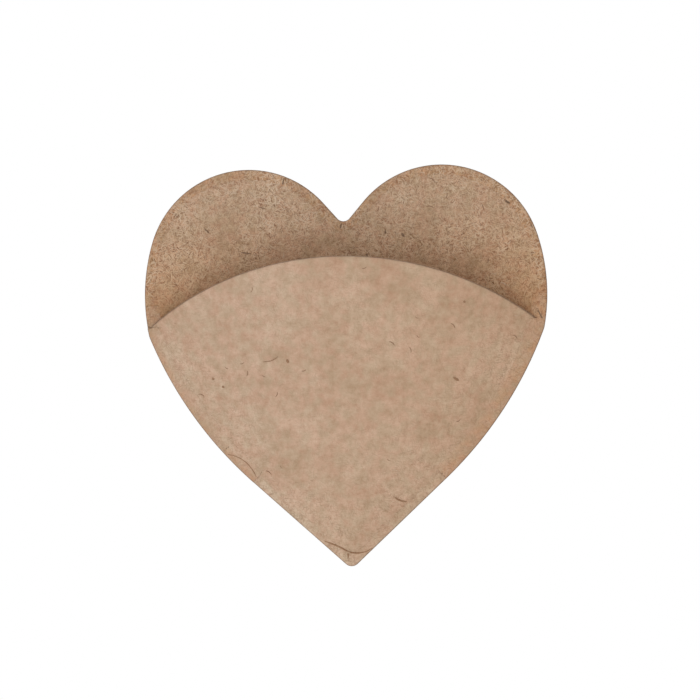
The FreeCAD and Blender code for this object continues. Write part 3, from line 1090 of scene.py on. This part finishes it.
class POCKET_OT_seam_strips(bpy.types.Operator):
    """Wrap the seam strips and the tip patch round the pocket's edge"""
    bl_idname = "pocket.seam_strips"
    bl_label = "Seam strips and tip patch"

    def execute(self, context):
        heart, paper = SHAPES["heart"], SHAPES["paper"]
        bow_end = SHAPES["bow"].rim_end - 0.5 * MM
        top = heart.corner[1] + paper.strip_top
        right_top = heart.distance_at_height(top)
        left_top = heart.distance_at_height(top, right=False)
        left_joint = heart.distance_at_height(paper.left_joint, right=False)
        right_tip = heart.distance_at_height(paper.patch_right)
        left_tip = heart.distance_at_height(paper.patch_left, right=False)
        seam, patch = (paper.seam_band, paper.seam_ease), (paper.patch_band, paper.patch_ease)
        strips = (
            ("seam_strip_right", "seam", right_tip, right_top, seam, 41),
            ("seam_strip_left_upper", "seam", left_top, left_joint, seam, 51),
            ("seam_strip_left_lower", "seam", left_joint, left_tip, seam, 61),
            ("tip_patch", "patch", left_tip - heart.perimeter, right_tip, patch, 71),
        )
        for name, kind, start, end, (band, ease), seed in strips:
            piece = build_strip(name + "_paper", MATERIALS[kind], start, end, band,
                                lambda flat: flat[1] < bow_end, ease, seed)
            settle(piece, "front_kraft", name)
        return {"FINISHED"}


class POCKET_OT_fibres(bpy.types.Operator):
    """Strew bark flecks and pale fibres over the paper"""
    bl_idname = "pocket.fibres"
    bl_label = "Fibres"

    def execute(self, context):
        paper = SHAPES["paper"]
        shape = fibre_shape("fibre_shape", paper.fibre_length, paper.fibre_width)
        for surface, densities in FIBRES_PER_SQUARE_METRE.items():
            for tone, density in densities.items():
                piece = strew(f"{surface}_{tone}_fibres", bpy.data.objects[surface], shape, density,
                              FIBRE_SEEDS[tone], MATERIALS[tone])
                settle(piece, FIBRE_SLOTS[surface])
        bpy.data.objects.remove(shape)
        return {"FINISHED"}


class POCKET_OT_marks(bpy.types.Operator):
    """Lay the torn lines, creases and larger flecks on the paper"""
    bl_idname = "pocket.marks"
    bl_label = "Torn lines and flecks"

    def execute(self, context):
        paper = SHAPES["paper"]
        patch_cover = 0.6 * paper.cover

        def on_front(flat):
            return soft_rise(flat[0], flat[1], paper.patch_ease) + patch_cover

        def on_seam(flat):
            return soft_rise(flat[0], flat[1], paper.seam_ease) + paper.cover

        # Torn lines and creases are laid in dark colours as painted shadow and painted crease shade
        groups = (
            ("front_torn_lines", "front_kraft", FRONT_MARKS, on_front, "mark"),
            ("seam_torn_lip", "front_kraft", SEAM_MARKS, on_seam, "mark"),
            ("edge_creases", "edge_kraft", EDGE_MARKS, lambda flat: paper.cover, "speck_and_crease_shade"),
            ("back_flecks", "back_kraft", BACK_MARKS, lambda flat: 0.0, "speck_and_crease_shade"),
        )
        for name, slot, marks, rise_of, kind in groups:
            settle(build_marks(name, marks, rise_of, MATERIALS[kind]), slot)
        return {"FINISHED"}


class POCKET_OT_stage(bpy.types.Operator):
    """Set the floor, the soft light and the camera"""
    bl_idname = "pocket.stage"
    bl_label = "Studio stage"

    def execute(self, context):
        scene = context.scene
        scene.view_settings.view_transform = "Standard"
        build_floor(scene)
        build_light(scene)
        build_camera(scene)
        return {"FINISHED"}


# Stage

def build_floor(scene):
    """A wide floor, well below the pocket."""
    half, level = 3.0, -0.90
    corners = [(-half, -half, level), (half, -half, level), (half, half, level), (-half, half, level)]
    paint = studio_floor(scene.pocket_colours.floor)
    floor = finish_mesh("studio_floor", corners, [(0, 1, 2, 3)], paint, smooth=False)


def build_light(scene):
    """Light from all round, and a weak soft lamp from the lower left."""
    surroundings, lamp_width, lamp_power = 0.80, 0.7, 2.0
    world = bpy.data.worlds.new("soft_white_studio")
    scene.world = world
    world.use_nodes = True
    tree = world.node_tree
    tree.nodes.clear()
    strength = add(tree, RANGE, Value=seen_directly(tree), To_Min=surroundings, To_Max=1.0)
    sky = add(tree, "ShaderNodeBackground", Color=WHITE, Strength=strength)
    add(tree, "ShaderNodeOutputWorld", Surface=sky)
    lamp = bpy.data.lights.new("soft_key", "AREA")
    lamp.shape, lamp.size, lamp.size_y = "RECTANGLE", lamp_width, lamp_width
    lamp.energy = lamp_power
    key = bpy.data.objects.new("soft_key", lamp)
    key.location = (-0.28, -0.78, -0.32)
    key.rotation_euler = (-key.location).to_track_quat("-Z", "Y").to_euler()
    scene.collection.objects.link(key)


def build_camera(scene):
    """A long lens a little to the right of square on, rolled as the heart hangs in the photograph."""
    distance, view_width = 0.75, 0.210
    yaw, roll = math.radians(3.0), math.radians(-1.4)
    target = Vector((1.05 * MM, FACE_DEPTH, 5.0 * MM))
    lens = bpy.data.cameras.new("camera")
    lens.sensor_width = 36.0
    lens.lens = lens.sensor_width * distance / view_width
    camera = bpy.data.objects.new("camera", lens)
    camera.location = target + Vector((math.sin(yaw), -math.cos(yaw), 0.0)) * distance
    turned = Euler((QUARTER_TURN, 0.0, yaw)).to_matrix() @ Euler((0.0, 0.0, roll)).to_matrix()
    camera.rotation_euler = turned.to_euler()
    scene.collection.objects.link(camera)
    scene.camera = camera


# Panel and registration

class POCKET_PT_panel(bpy.types.Panel):
    """Sizes, colours and build steps of the wall pocket"""
    bl_idname = "POCKET_PT_panel"
    bl_label = "Wall Pocket"
    bl_space_type = "VIEW_3D"
    bl_region_type = "UI"
    bl_category = "Wall Pocket"

    def draw(self, context):
        for operator in OPERATORS:
            self.layout.operator(operator.bl_idname)
        for name, group in GROUPS.items():
            column = self.layout.column()
            for setting in group.__annotations__:
                column.prop(getattr(context.scene, name), setting)


GROUPS = {
    "pocket_outline": HeartOutlineSizes,
    "pocket_front": BowedFrontSizes,
    "pocket_paper": PaperSizes,
    "pocket_colours": KraftColours,
}
OPERATORS = (POCKET_OT_back, POCKET_OT_lobe_strips, POCKET_OT_front, POCKET_OT_seam_strips, POCKET_OT_fibres,
             POCKET_OT_marks, POCKET_OT_stage)


def register():
    for name, group in GROUPS.items():
        bpy.utils.register_class(group)
        setattr(bpy.types.Scene, name, bpy.props.PointerProperty(type=group))
    for entry in OPERATORS + (POCKET_PT_panel,):
        bpy.utils.register_class(entry)


def unregister():
    for entry in reversed(OPERATORS + (POCKET_PT_panel,)):
        bpy.utils.unregister_class(entry)
    for name, group in GROUPS.items():
        delattr(bpy.types.Scene, name)
        bpy.utils.unregister_class(group)


def main():
    register()
    read_shapes()
    read_materials()
    bpy.ops.pocket.back()
    bpy.ops.pocket.lobe_strips()
    bpy.ops.pocket.front()
    bpy.ops.pocket.seam_strips()
    bpy.ops.pocket.fibres()
    bpy.ops.pocket.marks()
    bpy.ops.pocket.stage()


if __name__ == "__main__":
    main()
